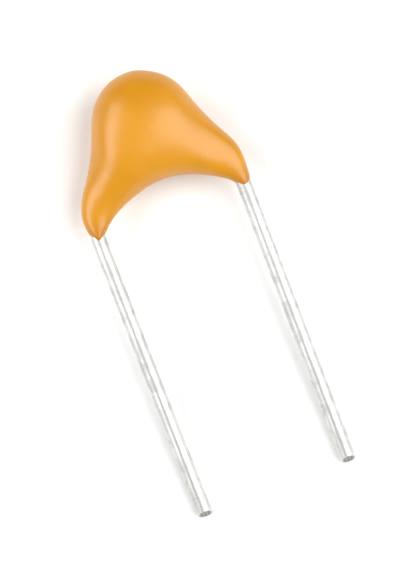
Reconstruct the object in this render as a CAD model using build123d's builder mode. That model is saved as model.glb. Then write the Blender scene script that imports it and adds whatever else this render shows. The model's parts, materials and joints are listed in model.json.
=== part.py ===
"""A radial-leaded ceramic capacitor.

A multilayer ceramic chip is soldered between two formed wires and dipped in epoxy.

Each piece is made in the capacitor's own flat frame, in millimetres: X runs across the two leads, +Y
runs from the lead tips to the crown, Z runs through the thickness, and Y = 0 is the seating line, where
the coating ends on the leads. The finished pieces are then tipped together into the way the capacitor
lies on a table, on the belly of its coating and on its two lead tips, with the origin under the middle
of the whole part.
"""

import os
from math import cos, pi, radians, tan

from build123d import *

# Leads: tinned steel wire, cut off at a slant
lead_pitch = 5.08
lead_diameter = 0.50
lead_free_length = 9.85  # from the seating line to the tip
lead_cut_slant = 32.0  # degrees between the cut face and a square cut
elbow_height = 0.90  # of the corner where the wire turns in towards the chip
elbow_start = -0.03  # where the wire leaves the straight for its elbow, just below the seating line
shoulder_bend_radius = 0.55  # of the wire's centreline, where it straightens beside the chip
lead_reach = 0.42  # how far the wire runs up the chip's end, past its middle

# Chip
chip_length = 2.00  # over both silver caps
chip_width = 1.25
chip_thickness = 1.00
chip_height = 3.07  # of its middle, above the seating line
chip_shift = 0.17  # sideways, from the middle of the leads
chip_edge_radius = 0.06

# Silver caps over the chip's ends
cap_wall = 0.04
cap_band = 0.40  # how far a cap wraps along the chip

# Electrodes: printed metal layers, joined to the left and the right cap in turn
electrode_count = 20
electrode_thickness = 0.004
electrode_side_margin = 0.20
electrode_end_margin = 0.25
cover_thickness = 0.14  # of plain ceramic over the first and the last layer

# Solder joints between the caps and the wires
solder_gap = 0.03  # between a cap and its wire
solder_film = 0.04  # over the back of the wire
solder_spread = 0.84  # width of the joint on the cap
solder_height = 0.78  # along the wire
solder_hollow = 0.5  # how hollow the flanks are: 0 is straight, 1 reaches in as far as the wire's side

# Epoxy coating
coating_thickness = 2.40  # of the bulb, front to back
bulb_wall = 0.19  # around the wires beside the chip
flank_wall = 0.28  # outside the slanting wires
elbow_wall = 0.09  # outside the elbows
foot_skin = 0.04  # around the wires at the seating line
coating_drift = 0.05  # how much further the coating ran out on the right than on the left
arch_height = 1.17  # of the web between the legs
arch_haunch_height = 0.65  # how far up the legs the arch stays steep
arch_haunch_inset = 0.10
arch_roundness = 0.38  # of the arch's top: 0 is a point
crown_bias = 0.08  # how much fuller a section is on its crown side than on its web side
fan_sections = 13
run_out = 1.0

lead_radius = lead_diameter / 2
foot_x = lead_pitch / 2
ceramic_length = chip_length - 2 * cap_wall
wire_offset = chip_length / 2 + solder_gap + lead_radius  # from the chip's middle to the wire beside it
shoulder_height = chip_height - chip_width / 2  # of the corner beside the chip
bulb_radius = wire_offset + lead_radius + bulb_wall
foot_thickness = lead_diameter + 2 * foot_skin


def elbow_corner(side):
    return Vector(side * foot_x, elbow_height)


def shoulder_corner(side):
    return Vector(chip_shift + side * wire_offset, shoulder_height)


def make_lead(side):
    """A wire that runs up from its cut tip to the elbow, slants in to the chip and ends beside it."""
    elbow = elbow_corner(side)
    shoulder = shoulder_corner(side)
    turn = (shoulder - elbow).get_angle(Vector(0, 1))
    elbow_bend_radius = (elbow_height - elbow_start) / tan(radians(turn / 2))
    cut = Plane(
        origin=(0, -lead_free_length, -lead_radius),
        z_dir=Vector(0, 1, 0).rotate(Axis.X, -lead_cut_slant),
    )
    with BuildPart() as lead:
        with BuildLine() as centreline:
            FilletPolyline(
                (elbow.X, -lead_free_length - lead_diameter),
                elbow,
                shoulder,
                (shoulder.X, chip_height + lead_reach),
                radius=[elbow_bend_radius, shoulder_bend_radius],
            )
        with BuildSketch(centreline.line ^ 0):
            Circle(lead_radius)
        sweep()
        split(bisect_by=cut, keep=Keep.TOP)
    return lead.part


def make_blank():
    """The chip's ceramic before its layers are let into it, with its edges tumbled round."""
    with BuildPart() as blank:
        with Locations((chip_shift, chip_height, 0)):
            Box(ceramic_length, chip_width, chip_thickness)
        fillet(blank.edges(), chip_edge_radius)
    return blank.part


def make_electrode(layer, side):
    """A thin printed plate that reaches the ceramic's end on its own side and stops short of the other."""
    lowest = cover_thickness - chip_thickness / 2
    layer_pitch = -2 * lowest / (electrode_count - 1)
    middle = (chip_shift + side * electrode_end_margin / 2, chip_height, lowest + layer * layer_pitch)
    with BuildPart() as electrode:
        with Locations(middle):
            Box(
                ceramic_length - electrode_end_margin,
                chip_width - 2 * electrode_side_margin,
                electrode_thickness,
            )
    return electrode.part


def make_cap(side, blank):
    """A five-sided silver cap over one end of the chip."""
    middle_x = chip_shift + side * (chip_length - cap_band) / 2
    with BuildPart() as cap:
        with Locations((middle_x, chip_height, 0)):
            Box(cap_band, chip_width + 2 * cap_wall, chip_thickness + 2 * cap_wall)
        end_face = cap.faces().sort_by(Axis.X)[-1 if side > 0 else 0]
        long_edges = cap.edges().filter_by(Axis.X)
        fillet(end_face.edges() + long_edges, chip_edge_radius + cap_wall)
        add(blank, mode=Mode.SUBTRACT)
    return cap.part


def make_solder(side, cap, lead):
    """A joint with hollow flanks from the cap to the wire's sides, and a film over the wire's back."""
    face_x = chip_length / 2
    foot_z = solder_spread / 2
    hip_z = lead_radius + solder_film
    flank = ((face_x + wire_offset) / 2, (foot_z + hip_z) / 2 - solder_hollow * (foot_z - hip_z) / 2)
    start = Plane(
        origin=(chip_shift, chip_height - solder_height / 2, 0), x_dir=(side, 0, 0), z_dir=(0, 1, 0)
    )
    with BuildPart() as solder:
        with BuildSketch(start):
            with BuildLine():
                ThreePointArc((face_x, foot_z), flank, (wire_offset, hip_z))
                ThreePointArc((wire_offset, hip_z), (wire_offset + hip_z, 0), (wire_offset, -hip_z))
                ThreePointArc((wire_offset, -hip_z), (flank[0], -flank[1]), (face_x, -foot_z))
                Line((face_x, -foot_z), (face_x, foot_z))
            make_face()
        extrude(amount=solder_height)
        add([cap, lead], mode=Mode.SUBTRACT)
    return solder.part


def outline_points(side):
    """The coating's silhouette on one side, from its foot up to the upper side of the bulb."""
    elbow = elbow_corner(side)
    shoulder = shoulder_corner(side)
    drift = side * coating_drift
    off_elbow = Vector(side * (lead_radius + elbow_wall + drift), 0)
    off_flank = (shoulder - elbow).normalized().rotate(Axis.Z, -side * 90)
    bulb_middle = Vector(chip_shift, chip_height)
    bulb_reach = Vector(side * bulb_radius, 0)
    return [
        Vector(side * (foot_x + lead_radius + foot_skin), 0),
        elbow + off_elbow,
        (elbow + shoulder) / 2 + off_flank * (lead_radius + flank_wall + drift),
        bulb_middle + bulb_reach,
        bulb_middle + bulb_reach.rotate(Axis.Z, side * 45),
    ]


def coating_section(inner, outer, fullness):
    """The upper half of an egg-shaped section, between a point of the arch and one of the outline."""
    thickness = foot_thickness + (coating_thickness - foot_thickness) * fullness
    handle = thickness / 2 / 0.75  # a cubic curve with level handles rises to three quarters of them
    width = (outer - inner).length
    plane = Plane(origin=inner, x_dir=outer - inner, z_dir=(outer - inner).cross(Vector(0, 0, 1)))
    with BuildSketch(plane) as section:
        with BuildLine():
            Bezier(
                (0, 0),
                (0, handle * (1 - crown_bias * fullness)),
                (width, handle * (1 + crown_bias * fullness)),
                (width, 0),
            )
            Line((width, 0), (0, 0))
        make_face()
    return section.sketch


def make_skin():
    """The coating as a solid of its outer shape.

    Egg-shaped sections fan out around the arch, from leg to leg. The fan carries on for a little down
    each wire, and is cut off square at the seating line.
    """
    with BuildLine() as outline:
        crown = Vector(chip_shift, chip_height + bulb_radius)
        Spline(*outline_points(-1), crown, *reversed(outline_points(1)), tangents=[(0, 1), (0, -1)])
    with BuildLine() as arch:
        foot = Vector(foot_x - lead_radius - foot_skin, 0)
        haunch = Vector(foot.X - arch_haunch_inset, arch_haunch_height)
        top = Vector(foot.X * arch_roundness, arch_height)
        Bezier((-foot.X, 0), (-haunch.X, haunch.Y), (-top.X, top.Y), (0, arch_height))
        Bezier((0, arch_height), top, haunch, foot)
    outer_edge = outline.wire()
    inner_edge = arch.wire()

    sections = []
    for index in range(fan_sections):
        share = index / (fan_sections - 1)
        fullness = cos(pi * abs(share - 0.5)) ** 2
        sections.append((inner_edge @ share, outer_edge @ share, fullness))
    for drop in (Vector(0, -run_out / 2), Vector(0, -run_out)):
        sections.insert(0, (inner_edge @ 0 + drop, outer_edge @ 0 + drop, 0))
        sections.append((inner_edge @ 1 + drop, outer_edge @ 1 + drop, 0))

    with BuildPart() as skin:
        for inner, outer, fullness in sections:
            add(coating_section(inner, outer, fullness))
        loft()
        split(bisect_by=Plane.XZ, keep=Keep.BOTTOM)
        mirror(about=Plane.XY)
    return skin.part


def make_coating(skin, inner_pieces):
    with BuildPart() as coating:
        add(skin)
        add(inner_pieces, mode=Mode.SUBTRACT)
    return coating.part


def resting_place(skin, leads):
    """How the flat frame lies on the table: tipped until the belly and the lead tips are level."""

    def lowest(pieces, tilt):
        return min(piece.rotate(Axis.X, tilt).bounding_box().min.Z for piece in pieces)

    flat, steep = 0.0, 15.0
    for _ in range(20):
        tilt = (flat + steep) / 2
        if lowest([skin], tilt) < lowest(leads, tilt):
            flat = tilt
        else:
            steep = tilt
    box = Compound([skin, *leads]).rotate(Axis.X, tilt).bounding_box()
    return Location((-box.center().X, -box.center().Y, -box.min.Z), (tilt, 0, 0))


blank = make_blank()
left_lead = make_lead(-1)
right_lead = make_lead(1)
left_cap = make_cap(-1, blank)
right_cap = make_cap(1, blank)
left_solder = make_solder(-1, left_cap, left_lead)
right_solder = make_solder(1, right_cap, right_lead)
skin = make_skin()
pieces = {
    "left_lead": left_lead,
    "right_lead": right_lead,
    "left_silver_cap": left_cap,
    "right_silver_cap": right_cap,
    "left_solder_joint": left_solder,
    "right_solder_joint": right_solder,
}
pieces["epoxy_coating"] = make_coating(skin, [blank, *pieces.values()])

electrodes = []
for layer in range(electrode_count):
    side = -1 if layer % 2 == 0 else 1
    electrode = make_electrode(layer, side)
    electrodes.append(electrode)
    pieces[f"{'left' if side < 0 else 'right'}_electrode_{layer // 2 + 1}"] = electrode

with BuildPart() as ceramic:
    add(blank)
    add(electrodes, mode=Mode.SUBTRACT)
pieces["ceramic_body"] = ceramic.part

place = resting_place(skin, [left_lead, right_lead])
os.makedirs("parts", exist_ok=True)
for name, piece in pieces.items():
    laid = piece.moved(place)
    laid.label = name
    export_step(laid, f"parts/{name}.step")
print("tipped by", round(place.orientation.X, 3), "degrees, moved by", place.position)
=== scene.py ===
# %% [markdown]
# # A dipped ceramic capacitor
#
# The real part is a chip of layered ceramic, soldered between two tinned wires and dipped in liquid
# epoxy. The dip gives it its shape: a bulb over the chip, two legs that run down the wires, and an arch
# between them where the liquid let go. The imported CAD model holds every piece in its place. This
# lesson gives the three pieces that can be seen, the coating and the two leads, their true surfaces,
# and gives the pieces inside a finish of their own.

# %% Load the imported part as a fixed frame
import json
import math

import bpy
from mathutils import Matrix, Vector


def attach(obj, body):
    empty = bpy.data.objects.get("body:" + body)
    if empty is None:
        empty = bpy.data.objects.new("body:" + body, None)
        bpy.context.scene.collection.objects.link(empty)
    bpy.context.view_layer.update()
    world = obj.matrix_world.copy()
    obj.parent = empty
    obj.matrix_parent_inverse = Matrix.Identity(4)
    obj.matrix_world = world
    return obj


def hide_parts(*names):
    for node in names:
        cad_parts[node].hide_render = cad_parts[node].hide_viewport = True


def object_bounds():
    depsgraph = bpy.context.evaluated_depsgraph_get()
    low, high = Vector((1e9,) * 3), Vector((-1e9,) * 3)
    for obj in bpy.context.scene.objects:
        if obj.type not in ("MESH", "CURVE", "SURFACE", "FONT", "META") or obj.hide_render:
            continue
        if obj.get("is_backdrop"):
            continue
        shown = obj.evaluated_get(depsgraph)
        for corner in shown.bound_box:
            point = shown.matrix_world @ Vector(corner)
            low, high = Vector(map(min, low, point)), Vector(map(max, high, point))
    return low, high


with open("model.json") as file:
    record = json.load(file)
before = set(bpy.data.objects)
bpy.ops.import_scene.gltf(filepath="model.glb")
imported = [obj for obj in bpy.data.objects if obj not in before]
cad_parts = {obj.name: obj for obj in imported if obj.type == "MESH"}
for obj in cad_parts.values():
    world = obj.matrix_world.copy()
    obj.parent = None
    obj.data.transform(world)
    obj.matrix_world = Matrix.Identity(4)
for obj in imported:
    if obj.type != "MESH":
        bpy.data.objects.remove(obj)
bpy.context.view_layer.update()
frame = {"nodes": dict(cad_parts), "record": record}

# %% [markdown]
# ## The capacitor's own flat frame
#
# The part lies on its belly and its lead tips, so it is tipped by a few degrees. It is easier to model
# flat: X across the leads, Y up from the seating line to the crown, Z through the thickness. The
# record's mounts say where the leads are, and so they give the matrix that lays a flat piece down.

# %% Work out the flat frame from the mounts
MM = 0.001
mounts = {mount["name"]: mount for mount in frame["record"]["mounts"]}
lead_pair = mounts["lead_pair"]
foot_x = lead_pair["dims"]["pcd_mm"] / 2
wire_radius = lead_pair["dims"]["stud_r_mm"]
free_length = mounts["left_lead_tip"]["dims"]["length_mm"]

to_crown = -Vector(lead_pair["axis"]).normalized()
tilt = math.atan2(to_crown.z, to_crown.y)
seat = Vector(lead_pair["pos_m"]) + to_crown * free_length / 2 * MM
lay_down = Matrix.Translation(seat) @ Matrix.Rotation(tilt, 4, "X")
stand_up = lay_down.inverted()
print("tipped by", round(math.degrees(tilt), 2), "degrees")


def flat_box(node):
    """A node's lowest and highest corners in the flat frame, in millimetres."""
    points = [stand_up @ vertex.co / MM for vertex in frame["nodes"][node].data.vertices]
    lowest = Vector([min(point[axis] for point in points) for axis in range(3)])
    highest = Vector([max(point[axis] for point in points) for axis in range(3)])
    return lowest, highest


chip_low, chip_high = flat_box("ceramic_body")
chip_middle = (chip_low + chip_high) / 2
coat_low, coat_high = flat_box("epoxy_coating")
print("chip middle", chip_middle, "coating from", coat_low, "to", coat_high)

# %% [markdown]
# ## Working with operators
#
# Every operator acts on whatever is selected, so each step first deselects everything and then selects
# by a rule. While a piece is being shaped its mesh is in millimetres of the flat frame, which keeps the
# numbers readable. `finish_piece` turns it into metres and lays it down where the CAD part lies.

# %% Helpers for selecting, moving and finishing


def make_active(piece):
    if bpy.context.object and bpy.context.object.mode != "OBJECT":
        bpy.ops.object.mode_set(mode="OBJECT")
    bpy.ops.object.select_all(action="DESELECT")
    piece.select_set(True)
    bpy.context.view_layer.objects.active = piece


def select_faces(piece, rule):
    """Selects in edit mode the faces whose middle and normal meet the rule, and no others."""
    make_active(piece)
    bpy.ops.object.mode_set(mode="EDIT")
    bpy.ops.mesh.select_mode(type="FACE")
    bpy.ops.mesh.select_all(action="DESELECT")
    bpy.ops.object.mode_set(mode="OBJECT")
    for face in piece.data.polygons:
        face.select = rule(face.center, face.normal)
    bpy.ops.object.mode_set(mode="EDIT")


# %% Helpers for extruding, turning and sizing
def extrude_by(step):
    bpy.ops.mesh.extrude_region_move(TRANSFORM_OT_translate={"value": step})


def turn_by(angle, axis, centre):
    """Turns the selection by the right-hand rule. With no window the operator turns the other way."""
    bpy.ops.transform.rotate(value=-angle, orient_axis=axis, center_override=centre)


def size_by(ratios, centre):
    bpy.ops.transform.resize(value=ratios, center_override=centre)


def apply_modifier(piece, kind, **settings):
    modifier = piece.modifiers.new(kind.lower(), kind)
    for name, value in settings.items():
        setattr(modifier, name, value)
    make_active(piece)
    bpy.ops.object.modifier_apply(modifier=modifier.name)


# %% Helpers for starting and finishing a piece
def start_disc(name, sides, radius, centre):
    """A filled disc that faces along Y, the first section of a piece."""
    bpy.ops.mesh.primitive_circle_add(
        vertices=sides, radius=radius, fill_type="NGON", location=centre, rotation=(math.pi / 2, 0, 0)
    )
    piece = bpy.context.object
    piece.name = name
    piece.data.name = name
    bpy.ops.object.transform_apply(location=True, rotation=True, scale=True)
    bpy.ops.object.mode_set(mode="EDIT")
    bpy.ops.mesh.select_mode(type="FACE")
    bpy.ops.mesh.select_all(action="SELECT")
    return piece


def finish_piece(piece, crease=40):
    """Merges doubles, turns all faces outwards and lays the piece down at its real size."""
    make_active(piece)
    bpy.ops.object.mode_set(mode="EDIT")
    bpy.ops.mesh.select_all(action="SELECT")
    bpy.ops.mesh.remove_doubles(threshold=0.0002)
    bpy.ops.mesh.normals_make_consistent(inside=False)
    bpy.ops.object.mode_set(mode="OBJECT")
    piece.matrix_world = lay_down @ Matrix.Scale(MM, 4)
    bpy.ops.object.transform_apply(location=True, rotation=True, scale=True)
    bpy.ops.object.shade_smooth_by_angle(angle=math.radians(crease))
    print(piece.name, "has", len(piece.data.polygons), "faces")


# %% [markdown]
# ## The leads
#
# Each lead is one length of tinned wire: straight from its tip to the seating line, bent in over the
# elbow, slanting to the chip and straight up beside it. A curve with a bevel would be quicker, but
# extruding and spinning a disc leaves even rings, which take the cut and the lumps of the tinning well.
# So a disc is set beyond the tip, extruded along each straight run and spun round each bend.

# %% Where the wires run
elbow_height = 0.90
elbow_start = -0.03
shoulder_radius = 0.55
shoulder_height = chip_low.y
cut_slant = math.radians(32)
spare_length = 0.6
WIRE_SIDES = 36
STRAIGHT_STEPS = 90
BEND_STEPS = 8


def selection_middle(piece):
    """The middle of the faces that the last extrude or spin left selected."""
    bpy.ops.object.mode_set(mode="OBJECT")
    chosen = [face.center for face in piece.data.polygons if face.select]
    bpy.ops.object.mode_set(mode="EDIT")
    return sum(chosen, Vector()) / len(chosen)


def spin_bend(piece, heading, turn, radius):
    """Carries the selected end round a bend and returns the new heading.

    With no window, spin turns the other way too.
    """
    sideways = Matrix.Rotation(math.copysign(math.pi / 2, turn), 3, "Z") @ heading
    centre = selection_middle(piece) + sideways * radius
    bpy.ops.mesh.spin(steps=BEND_STEPS, angle=-turn, center=centre, axis=(0, 0, 1))
    return Matrix.Rotation(turn, 3, "Z") @ heading


def run_straight(heading, length, steps):
    for _ in range(steps):
        extrude_by(heading * length / steps)


# %% Run both wires
def make_wire(name, side):
    """The wire on its centre line, with its tip still long and square."""
    low, high = flat_box(name)
    head_x = high.x - wire_radius if side < 0 else low.x + wire_radius
    slope = Vector((head_x - side * foot_x, shoulder_height - elbow_height, 0))
    turn = -side * -slope.angle(Vector((0, 1, 0)))
    elbow_run = elbow_height - elbow_start
    elbow_radius = elbow_run / math.tan(abs(turn) / 2)
    shoulder_run = shoulder_radius * math.tan(abs(turn) / 2)

    start = (side * foot_x, -free_length - spare_length, 0)
    wire = start_disc(name + "_wire", WIRE_SIDES, wire_radius, start)
    heading = Vector((0, 1, 0))
    run_straight(heading, free_length + spare_length + elbow_start, STRAIGHT_STEPS)
    heading = spin_bend(wire, heading, turn, elbow_radius)
    run_straight(heading, slope.length - elbow_run - shoulder_run, BEND_STEPS // 2)
    heading = spin_bend(wire, heading, -turn, shoulder_radius)
    run_straight(heading, high.y - shoulder_height - shoulder_run, BEND_STEPS // 2)
    bpy.ops.object.mode_set(mode="OBJECT")
    print(name, "top at", max(vertex.co.y for vertex in wire.data.vertices), "CAD", high.y)
    return wire


wires = {"left": make_wire("left_lead", -1), "right": make_wire("right_lead", 1)}

# %% [markdown]
# ## Cutting the tips
#
# The leads were snipped off, which leaves a slanted face with a slightly raised lip, where the jaws
# dragged the soft tin over the harder core. The bisect operator cuts and fills in one go. Inset could
# make the lip, but it throws spikes where the cut leaves very short edges, so the new face is extruded
# and made smaller twice instead, first in its own plane and then a little way in. Its faces get the
# second material number, for the core.

# %% Cut both tips
lip_width = 0.022
lip_depth = 0.010


def cut_tip(wire, side):
    make_active(wire)
    bpy.ops.object.mode_set(mode="EDIT")
    bpy.ops.mesh.select_all(action="SELECT")
    away_from_tip = Vector((0, math.cos(cut_slant), -math.sin(cut_slant)))
    bpy.ops.mesh.bisect(
        plane_co=(side * foot_x, -free_length, -wire_radius),
        plane_no=away_from_tip,
        use_fill=True,
        clear_inner=True,
    )
    select_faces(wire, lambda middle, normal: abs(normal.dot(away_from_tip)) > 0.99)
    centre = Vector((side * foot_x, -free_length + wire_radius * math.tan(cut_slant), 0))
    for step in (Vector(), away_from_tip * lip_depth):
        extrude_by(step)
        narrower = 1 - lip_width / wire_radius
        size_by((narrower, narrower, narrower), centre + step)
    bpy.ops.object.mode_set(mode="OBJECT")
    for face in wire.data.polygons:
        face.material_index = int(face.select)
    print(wire.name, "tip cut, core faces", sum(face.select for face in wire.data.polygons))


for name, wire in wires.items():
    cut_tip(wire, -1 if name == "left" else 1)

# %% [markdown]
# ## The coating
#
# Liquid epoxy has no edges: every section through it is a soft oval. The sections stand like the slats
# of a fan around the arch, from the left foot over the crown to the right foot. So the coating is grown
# in the same order: a ring at the left foot is extruded from slat to slat, and turned, widened and
# thickened at each. A Subdivision Surface then makes one smooth skin of it. A ball pulled into shape
# would be quicker, but its poles and uneven faces would show in the gloss.
#
# Two lines guide the fan: the silhouette outside and the arch inside. Both are smooth Bezier lines
# through a few points, and are divided evenly by their length.

# %% Helper for a guide line
crown = Vector((chip_middle.x, coat_high.y, 0))
foot_skin = 0.04
SLATS = 25


def even_points(name, points, count):
    """Points at even distances along a smooth line through the given points."""
    curve = bpy.data.curves.new(name, "CURVE")
    curve.dimensions = "3D"
    curve.resolution_u = 32
    spline = curve.splines.new("BEZIER")
    spline.bezier_points.add(len(points) - 1)
    for knot, point in zip(spline.bezier_points, points):
        knot.co = point
        knot.handle_left_type = "AUTO"
        knot.handle_right_type = "AUTO"
    guide = bpy.data.objects.new(name, curve)
    bpy.context.scene.collection.objects.link(guide)
    line = [vertex.co.copy() for vertex in guide.to_mesh().vertices]
    bpy.data.objects.remove(guide)

    reached = [0.0]
    for start, end in zip(line, line[1:]):
        reached.append(reached[-1] + (end - start).length)
    spaced = []
    step = 0
    for index in range(count):
        target = reached[-1] * index / (count - 1)
        while step < len(line) - 2 and reached[step + 1] < target:
            step += 1
        share = (target - reached[step]) / (reached[step + 1] - reached[step])
        spaced.append(line[step].lerp(line[step + 1], share))
    print(name, "is", round(reached[-1], 2), "mm long")
    return spaced


# %% Draw the silhouette and the arch
side_reach = foot_x + wire_radius + foot_skin
left_side = [
    Vector((-side_reach + 0.03, 0.40, 0)),
    Vector((-side_reach - 0.01, 0.86, 0)),
    Vector((-side_reach + 0.28, 1.52, 0)),
    Vector((-2.12, 2.13, 0)),
    Vector((-1.69, 2.90, 0)),
    Vector((-1.40, 3.68, 0)),
    Vector((-1.00, 4.28, 0)),
]
right_side = [
    Vector((1.08, 4.51, 0)),
    Vector((1.61, 4.02, 0)),
    Vector((1.87, 3.45, 0)),
    Vector((2.07, 2.80, 0)),
    Vector((2.44, 2.05, 0)),
    Vector((side_reach - 0.05, 1.44, 0)),
    Vector((side_reach + 0.04, 0.90, 0)),
    Vector((side_reach, 0.40, 0)),
]
silhouette = even_points("silhouette", [*left_side, crown, *right_side], SLATS)

arch_line = [
    Vector((-2.04, 0.38, 0)),
    Vector((-1.61, 0.68, 0)),
    Vector((-0.72, 1.02, 0)),
    Vector((0, 1.14, 0)),
    Vector((0.75, 1.05, 0)),
    Vector((1.61, 0.70, 0)),
    Vector((2.12, 0.38, 0)),
]
arch = even_points("arch", arch_line, SLATS)

# %% [markdown]
# Each slat of the fan has a middle, a heading, a width and a thickness. The thickness swells from the
# thin skin at a foot to the full bulb and back. A ring of few points shrinks when it is subdivided, so
# each ring is made larger by the amount that a round one loses.

# %% Grow the coating ring by ring
bulb_thickness = coat_high.z - coat_low.z
leg_thickness = 2 * (wire_radius + 0.09)
RING_SIDES = 16
ring_swell = 3 / (2 + math.cos(2 * math.pi / RING_SIDES))


def slat(index):
    inner = arch[index]
    outer = silhouette[index]
    across = outer - inner
    fullness = math.cos(math.pi * abs(index / (SLATS - 1) - 0.5)) ** 2
    thickness = leg_thickness + (bulb_thickness - leg_thickness) * fullness
    heading = math.atan2(-across.y, -across.x)
    return (inner + outer) / 2, heading, across.length * ring_swell, thickness * ring_swell


def reshape_ring(centre, old, new):
    """Turns the ring level, gives it its new width and thickness, and turns it to its new heading."""
    turn_by(-old[0], "Z", centre)
    size_by((new[1] / old[1], 1, new[2] / old[2]), centre)
    turn_by(new[0], "Z", centre)


centre, heading, width, thickness = slat(0)
coating = start_disc("coating", RING_SIDES, 1, centre)
reshape_ring(centre, (0, 2, 2), (heading, width, thickness))
for index in range(1, SLATS):
    old_centre, old_shape = centre, (heading, width, thickness)
    centre, heading, width, thickness = slat(index)
    extrude_by(centre - old_centre)
    new_heading = heading + round((old_shape[0] - heading) / (2 * math.pi)) * 2 * math.pi
    reshape_ring(centre, old_shape, (new_heading, width, thickness))
bpy.ops.object.mode_set(mode="OBJECT")
print("coating has", len(coating.data.polygons), "faces before it is smoothed")

# %% [markdown]
# ## The feet
#
# Where the coating ends, the liquid crept down the front and back of each wire and drew back from its
# sides, so a foot ends as a short tongue. Each foot is grown on by three more rings that become
# narrower faster than they become thin. The last one lies inside the wire, so the tongue dies out on
# it. Each row below is one ring: its height, its two edges across the leads and its thickness, in
# millimetres.

# %% Run the feet out onto the wires
tongue_rings = {
    "left": [(0.22, -2.75, -2.20, 0.62), (0.07, -2.64, -2.39, 0.56), (-0.02, -2.60, -2.46, 0.42)],
    "right": [(0.22, 2.27, 2.82, 0.62), (0.08, 2.36, 2.74, 0.57), (-0.02, 2.42, 2.66, 0.42)],
}


def end_middle(piece, side):
    """The middle of the flat cap that closes the coating at one foot."""
    caps = [face for face in piece.data.polygons if len(face.vertices) == RING_SIDES]
    return min((face.center.copy() for face in caps), key=lambda middle: middle.x * -side)


def run_out_foot(side_name, side, shape):
    cap_middle = end_middle(coating, side)
    select_faces(coating, lambda middle, normal: (middle - cap_middle).length < 0.001)
    old_heading, old_width, old_thickness = shape
    level = 0 if side < 0 else math.pi
    for height, low_x, high_x, new_thickness in tongue_rings[side_name]:
        new_middle = Vector(((low_x + high_x) / 2, height, 0))
        extrude_by(new_middle - cap_middle)
        new_shape = (level, (high_x - low_x) * ring_swell, new_thickness * ring_swell)
        reshape_ring(new_middle, (old_heading, old_width, old_thickness), new_shape)
        cap_middle = new_middle
        old_heading, old_width, old_thickness = new_shape
    bpy.ops.object.mode_set(mode="OBJECT")
    print(side_name, "foot ends at", cap_middle)


run_out_foot("left", -1, slat(0)[1:])
run_out_foot("right", 1, slat(SLATS - 1)[1:])
apply_modifier(coating, "SUBSURF", levels=3, render_levels=3)
print("coating has", len(coating.data.polygons), "faces")

# %% [markdown]
# ## Unevenness
#
# Neither surface is a perfect form. The epoxy sagged a little as it cured, and hot tin freezes in soft
# lumps. A bump would not show at the outline, so both are real: a Displace modifier moves the skin by
# hundredths of a millimetre, with a cloud texture as coarse as the real sags and lumps.

# %% Let the epoxy sag and the tin lump
def make_uneven(piece, name, lump_length, swing):
    clouds = bpy.data.textures.new(name, "CLOUDS")
    clouds.noise_scale = lump_length
    clouds.noise_depth = 1
    apply_modifier(
        piece, "DISPLACE", texture=clouds, texture_coords="LOCAL", strength=swing, mid_level=0.5
    )
    print(piece.name, "now swings by", swing, "mm")


make_uneven(coating, "epoxy_sags", lump_length=1.3, swing=0.05)
for wire in wires.values():
    make_uneven(wire, "tin_lumps", lump_length=0.6, swing=0.01)

# %% Finish the pieces
for wire in wires.values():
    finish_piece(wire)
finish_piece(coating)

for name, wire in wires.items():
    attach(wire, "root")
    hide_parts(name + "_lead")
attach(coating, "root")
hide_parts("epoxy_coating")

# %% [markdown]
# ## Materials
#
# Every finish here is procedural. Object coordinates are metres of the part as it lies, so one Mapping
# node turns them back to millimetres of the flat frame: a noise of scale 5 then has features a fifth of
# a millimetre across, and "along the wire" is simply Y.

# %% Colour and node helpers
def colour(code):
    """An sRGB hex colour as the linear values that a shader needs."""
    linear = []
    for start in (1, 3, 5):
        level = int(code[start : start + 2], 16) / 255
        linear.append(level / 12.92 if level <= 0.04045 else ((level + 0.055) / 1.055) ** 2.4)
    return (*linear, 1)


def add_node(material, kind, inputs=None, **settings):
    """Adds a node with its settings; an input is a value, or a socket to link."""
    node = material.node_tree.nodes.new(kind)
    for name, value in settings.items():
        setattr(node, name, value)
    for name, value in (inputs or {}).items():
        if isinstance(value, bpy.types.NodeSocket):
            material.node_tree.links.new(value, node.inputs[name])
        else:
            node.inputs[name].default_value = value
    return node


# %% Start a material in millimetres of the flat frame
def start_material(name, metallic, roughness):
    """A material, its shader and its place in millimetres of the flat frame."""
    material = bpy.data.materials.new(name)
    material.use_nodes = True
    shader = material.node_tree.nodes["Principled BSDF"]
    shader.inputs["Metallic"].default_value = metallic
    shader.inputs["Roughness"].default_value = roughness
    origin = Matrix.Rotation(-tilt, 3, "X") @ seat / MM
    place = add_node(
        material,
        "ShaderNodeMapping",
        {
            "Vector": add_node(material, "ShaderNodeTexCoord").outputs["Object"],
            "Scale": (1 / MM, 1 / MM, 1 / MM),
            "Rotation": (-tilt, 0, 0),
            "Location": -origin,
        },
    )
    return material, shader, place.outputs["Vector"]


def link(material, output, shader, name):
    material.node_tree.links.new(output, shader.inputs[name])


# %% [markdown]
# ## Dipped epoxy
#
# The coating is an epoxy filled with orange pigment, cured from a dip. It is glossy but not a mirror,
# because the filler stands a little proud of the resin: a faint orange peel, about a third of a
# millimetre from crest to crest. Pigment settles unevenly, so the orange drifts slowly over the bulb
# and holds a few fine specks. Towards the seating line the orange is painted deeper: painted shade
# for the lower edge, which the lamps light less.

# %% Mix the dipped epoxy
epoxy, shader, place = start_material("dipped_epoxy", metallic=0, roughness=0.36)
drift = add_node(epoxy, "ShaderNodeTexNoise", {"Vector": place, "Scale": 0.55, "Detail": 2.0})
drift_range = add_node(
    epoxy,
    "ShaderNodeMapRange",
    {"Value": drift.outputs["Fac"], "From Min": 0.35, "From Max": 0.65, "To Min": 0.0, "To Max": 1.0},
)
body_colour = add_node(
    epoxy,
    "ShaderNodeMix",
    {"Factor": drift_range.outputs["Result"], "A": colour("#CC8708"), "B": colour("#D48F0E")},
    data_type="RGBA",
)
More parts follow.
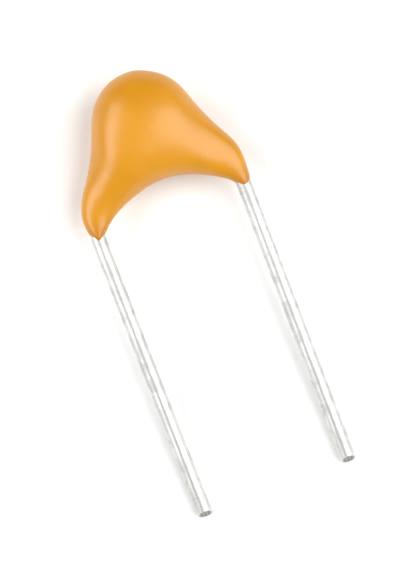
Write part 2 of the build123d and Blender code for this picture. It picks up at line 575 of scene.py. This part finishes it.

# %% Paint shade along the lower edge and add the specks
height = add_node(epoxy, "ShaderNodeSeparateXYZ", {"Vector": place})
# Painted shade: the orange deepens towards the seating line, standing in for the lower edge that the
# softboxes light less.
lower_edge_shade_mask = add_node(
    epoxy,
    "ShaderNodeMapRange",
    {"Value": height.outputs["Y"], "From Min": 0.05, "From Max": 0.75, "To Min": 0.8, "To Max": 0.0},
)
painted_shade_colour = add_node(
    epoxy,
    "ShaderNodeMix",
    {"Factor": lower_edge_shade_mask.outputs["Result"], "A": body_colour.outputs["Result"], "B": colour("#B5720A")},
    data_type="RGBA",
)
specks = add_node(epoxy, "ShaderNodeTexNoise", {"Vector": place, "Scale": 9.0, "Detail": 3.0})
speck_share = add_node(
    epoxy,
    "ShaderNodeMapRange",
    {"Value": specks.outputs["Fac"], "From Min": 0.64, "From Max": 0.76, "To Min": 0.0, "To Max": 0.35},
)
speckled_colour = add_node(
    epoxy,
    "ShaderNodeMix",
    {
        "Factor": speck_share.outputs["Result"],
        "A": painted_shade_colour.outputs["Result"],
        "B": colour("#AD6A12"),
    },
    data_type="RGBA",
)
link(epoxy, speckled_colour.outputs["Result"], shader, "Base Color")

# %% Give the epoxy its gloss and orange peel
gloss = add_node(
    epoxy,
    "ShaderNodeMapRange",
    {"Value": drift.outputs["Fac"], "From Min": 0.3, "From Max": 0.7, "To Min": 0.3, "To Max": 0.4},
)
link(epoxy, gloss.outputs["Result"], shader, "Roughness")
orange_peel = add_node(epoxy, "ShaderNodeTexNoise", {"Vector": place, "Scale": 3.0, "Detail": 2.5})
peel_bump = add_node(
    epoxy,
    "ShaderNodeBump",
    {"Height": orange_peel.outputs["Fac"], "Strength": 0.5, "Distance": 0.012 * MM},
)
link(epoxy, peel_bump.outputs["Normal"], shader, "Normal")
shader.inputs["IOR"].default_value = 1.58
coating.data.materials.append(epoxy)
print("coating is", epoxy.name)

# %% [markdown]
# ## Hot-tinned wire
#
# The leads are steel wire drawn through a die and then through molten tin. Tin gives a soft, bright
# grey with cloudy patches where it froze late, and the die's fine scratches still show through, long
# along the wire and narrow across it. Real scratches are a few microns wide, so they are drawn at
# about a twentieth of a millimetre, as coarse as they need to show.

# %% Draw and tin the wire
tin, shader, place = start_material("hot_tinned_steel_wire", metallic=1, roughness=0.32)
patches = add_node(
    tin,
    "ShaderNodeTexNoise",
    {"Vector": place, "Scale": 2.2, "Detail": 4.0, "Distortion": 0.6},
)
patch_range = add_node(
    tin,
    "ShaderNodeMapRange",
    {"Value": patches.outputs["Fac"], "From Min": 0.38, "From Max": 0.62, "To Min": 0.0, "To Max": 1.0},
)
tin_colour = add_node(
    tin,
    "ShaderNodeMix",
    {"Factor": patch_range.outputs["Result"], "A": colour("#C8C8C5"), "B": colour("#E0E0DD")},
    data_type="RGBA",
)
link(tin, tin_colour.outputs["Result"], shader, "Base Color")
tin_gloss = add_node(
    tin,
    "ShaderNodeMapRange",
    {
        "Value": patches.outputs["Fac"],
        "From Min": 0.35,
        "From Max": 0.65,
        "To Min": 0.56,
        "To Max": 0.42,
    },
)
link(tin, tin_gloss.outputs["Result"], shader, "Roughness")
along_wire = add_node(tin, "ShaderNodeMapping", {"Vector": place, "Scale": (20.0, 0.8, 20.0)})
die_scratches = add_node(
    tin, "ShaderNodeTexNoise", {"Vector": along_wire.outputs["Vector"], "Scale": 1.0, "Detail": 3.0}
)
scratch_bump = add_node(
    tin,
    "ShaderNodeBump",
    {"Height": die_scratches.outputs["Fac"], "Strength": 0.5, "Distance": 0.004 * MM},
)
link(tin, scratch_bump.outputs["Normal"], shader, "Normal")
print("leads are", tin.name)

# %% [markdown]
# ## Sheared core
#
# The cut face shows what is under the tin: bare steel, darker, with the tear lines that the cutter's
# jaw leaves across it, about 0.06 mm apart.

# %% Shear the tips
core, shader, place = start_material("sheared_steel_core", metallic=1, roughness=0.46)
tears = add_node(
    core,
    "ShaderNodeTexWave",
    {"Vector": place, "Scale": 2.6, "Distortion": 1.5, "Detail": 2.0, "Detail Scale": 3.0},
    bands_direction="X",
)
core_colour = add_node(
    core,
    "ShaderNodeMix",
    {"Factor": tears.outputs["Fac"], "A": colour("#7E7B77"), "B": colour("#A5A29D")},
    data_type="RGBA",
)
link(core, core_colour.outputs["Result"], shader, "Base Color")
tear_bump = add_node(
    core, "ShaderNodeBump", {"Height": tears.outputs["Fac"], "Strength": 0.5, "Distance": 0.008 * MM}
)
link(core, tear_bump.outputs["Normal"], shader, "Normal")

for wire in wires.values():
    wire.data.materials.append(tin)
    wire.data.materials.append(core)
    print(wire.name, "core faces", sum(face.material_index for face in wire.data.polygons))

# %% [markdown]
# ## The pieces inside
#
# Four more finishes dress the pieces that the coating hides, for anyone who takes it off. The chip is
# fired barium titanate, a brown ceramic with faint lines where its sheets were stacked. Nickel
# electrodes lie between the sheets, and are full of tiny pores after firing. Silver paste was fired on
# the chip's ends and is matt and grainy. Solder holds the wires to it, and froze with a soft crackle.

# %% Fire the ceramic
ceramic, shader, place = start_material("fired_barium_titanate", metallic=0, roughness=0.55)
sheets = add_node(
    ceramic,
    "ShaderNodeTexWave",
    {"Vector": place, "Scale": 4.4, "Distortion": 0.4, "Detail": 1.0},
    bands_direction="Z",
)
grain = add_node(ceramic, "ShaderNodeTexNoise", {"Vector": place, "Scale": 22.0, "Detail": 4.0})
sheet_colour = add_node(
    ceramic,
    "ShaderNodeMix",
    {"Factor": sheets.outputs["Fac"], "A": colour("#7B5A40"), "B": colour("#8A6A4D")},
    data_type="RGBA",
)
grain_colour = add_node(
    ceramic,
    "ShaderNodeMix",
    {"Factor": grain.outputs["Fac"], "A": sheet_colour.outputs["Result"], "B": colour("#5F4431")},
    data_type="RGBA",
)
link(ceramic, grain_colour.outputs["Result"], shader, "Base Color")
grain_bump = add_node(
    ceramic, "ShaderNodeBump", {"Height": grain.outputs["Fac"], "Strength": 0.4, "Distance": 0.004 * MM}
)
link(ceramic, grain_bump.outputs["Normal"], shader, "Normal")


# %% Fire the metals
def make_metal(name, dark, light, roughness, grain_size, relief):
    """A matt metal with darker, rougher pores. Grain size and relief are in millimetres."""
    metal, shader, place = start_material(name, metallic=1, roughness=roughness)
    grains = add_node(metal, "ShaderNodeTexVoronoi", {"Vector": place, "Scale": 1 / grain_size})
    cloud = add_node(
        metal, "ShaderNodeTexNoise", {"Vector": place, "Scale": 0.3 / grain_size, "Detail": 3.0}
    )
    mixed = add_node(
        metal,
        "ShaderNodeMath",
        {0: grains.outputs["Distance"], 1: cloud.outputs["Fac"]},
        operation="MULTIPLY",
    )
    metal_colour = add_node(
        metal,
        "ShaderNodeMix",
        {"Factor": mixed.outputs[0], "A": colour(light), "B": colour(dark)},
        data_type="RGBA",
    )
    link(metal, metal_colour.outputs["Result"], shader, "Base Color")
    metal_gloss = add_node(
        metal,
        "ShaderNodeMapRange",
        {"Value": mixed.outputs[0], "To Min": roughness, "To Max": min(roughness + 0.3, 0.9)},
    )
    link(metal, metal_gloss.outputs["Result"], shader, "Roughness")
    pore_bump = add_node(
        metal, "ShaderNodeBump", {"Height": mixed.outputs[0], "Strength": 0.5, "Distance": relief * MM}
    )
    link(metal, pore_bump.outputs["Normal"], shader, "Normal")
    return metal


nickel = make_metal(
    "fired_nickel", "#6F6A62", "#A8A297", roughness=0.5, grain_size=0.03, relief=0.002
)
silver = make_metal(
    "fired_silver_paste", "#A29F98", "#D2CFC8", roughness=0.45, grain_size=0.05, relief=0.006
)
solder = make_metal(
    "frozen_tin_solder", "#9A9C9F", "#CBCDD0", roughness=0.25, grain_size=0.12, relief=0.005
)

# %% Dress the hidden pieces
hidden_finishes = {
    "ceramic_body": ceramic,
    "electrode": nickel,
    "silver_cap": silver,
    "solder_joint": solder,
}
for name, node in frame["nodes"].items():
    for word, finish in hidden_finishes.items():
        if word in name:
            node.data.materials.clear()
            node.data.materials.append(finish)
for word, finish in hidden_finishes.items():
    print(finish.name, "dresses", sum(word in name for name in frame["nodes"]), "pieces")
for name, finish in (("left_lead", tin), ("right_lead", tin), ("epoxy_coating", epoxy)):
    frame["nodes"][name].data.materials.clear()
    frame["nodes"][name].data.materials.append(finish)

# %% [markdown]
# ## Table, lights and camera
#
# The part lies on a sheet of white paper, so the floor is a plane that is larger than any view. Two
# softboxes stand left and right. What they look like in the gloss is set by their size: the right one
# is broad and gives a wide patch, the left one is narrow and gives a thin band, and the room behind
# them stays dimmer, so that the edges of the bulb fall off. The Standard view shows each colour as its
# hex value says, without the softer curve of the default view.

# %% Lay the paper
bpy.ops.object.select_all(action="DESELECT")
bpy.ops.mesh.primitive_plane_add(size=0.6, location=(0, 0, 0))
floor = bpy.context.object
floor.name = "floor"
floor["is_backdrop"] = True
paper, shader, place = start_material("white_paper", metallic=0, roughness=0.85)
fibres = add_node(paper, "ShaderNodeTexNoise", {"Vector": place, "Scale": 1.5, "Detail": 5.0})
paper_colour = add_node(
    paper,
    "ShaderNodeMix",
    {"Factor": fibres.outputs["Fac"], "A": colour("#F8F8F7"), "B": colour("#FDFDFC")},
    data_type="RGBA",
)
link(paper, paper_colour.outputs["Result"], shader, "Base Color")
floor.data.materials.append(paper)

# %% Light the room
bpy.context.scene.view_settings.view_transform = "Standard"
world = bpy.data.worlds.new("studio")
bpy.context.scene.world = world
world.use_nodes = True
world.node_tree.nodes["Background"].inputs["Color"].default_value = colour("#FFFFFF")
world.node_tree.nodes["Background"].inputs["Strength"].default_value = 0.22

picture_turn = math.radians(21)
part_low, part_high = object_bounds()
middle = (part_low + part_high) / 2


def add_softbox(name, lean, distance, size, radiance):
    """A softbox aimed at the part. Lean is its angle from straight up, positive to the right."""
    right = Vector((math.cos(-picture_turn), math.sin(-picture_turn), 0))
    lamp_data = bpy.data.lights.new(name, "AREA")
    lamp_data.shape = "RECTANGLE"
    lamp_data.size = size[0]
    lamp_data.size_y = size[1]
    lamp_data.energy = radiance * math.pi * size[0] * size[1]
    lamp = bpy.data.objects.new(name, lamp_data)
    bpy.context.scene.collection.objects.link(lamp)
    lamp.location = middle + (right * math.sin(lean) + Vector((0, 0, math.cos(lean)))) * distance
    to_part = (middle - lamp.location).normalized()
    picture_up = Vector((0, 0, 1)).cross(right)
    axes = Matrix((to_part.cross(picture_up) * -1, picture_up, -to_part)).transposed()
    lamp.rotation_euler = axes.to_euler()
    print(name, "gives", round(lamp_data.energy, 3), "W")


add_softbox("left_softbox", math.radians(-50), 0.14, (0.08, 0.15), radiance=4.5)
add_softbox("right_softbox", math.radians(41), 0.15, (0.15, 0.17), radiance=3.6)

# %% Place the camera
camera_data = bpy.data.cameras.new("camera")
camera = bpy.data.objects.new("camera", camera_data)
bpy.context.scene.collection.objects.link(camera)
bpy.context.scene.camera = camera
camera_data.lens = 90
camera_data.sensor_width = 36
camera_height = 0.0475
camera.location = (middle.x, middle.y, camera_height)
camera.rotation_euler = (0, 0, -picture_turn)
camera_data.clip_start = 0.001
camera_data.clip_end = 2
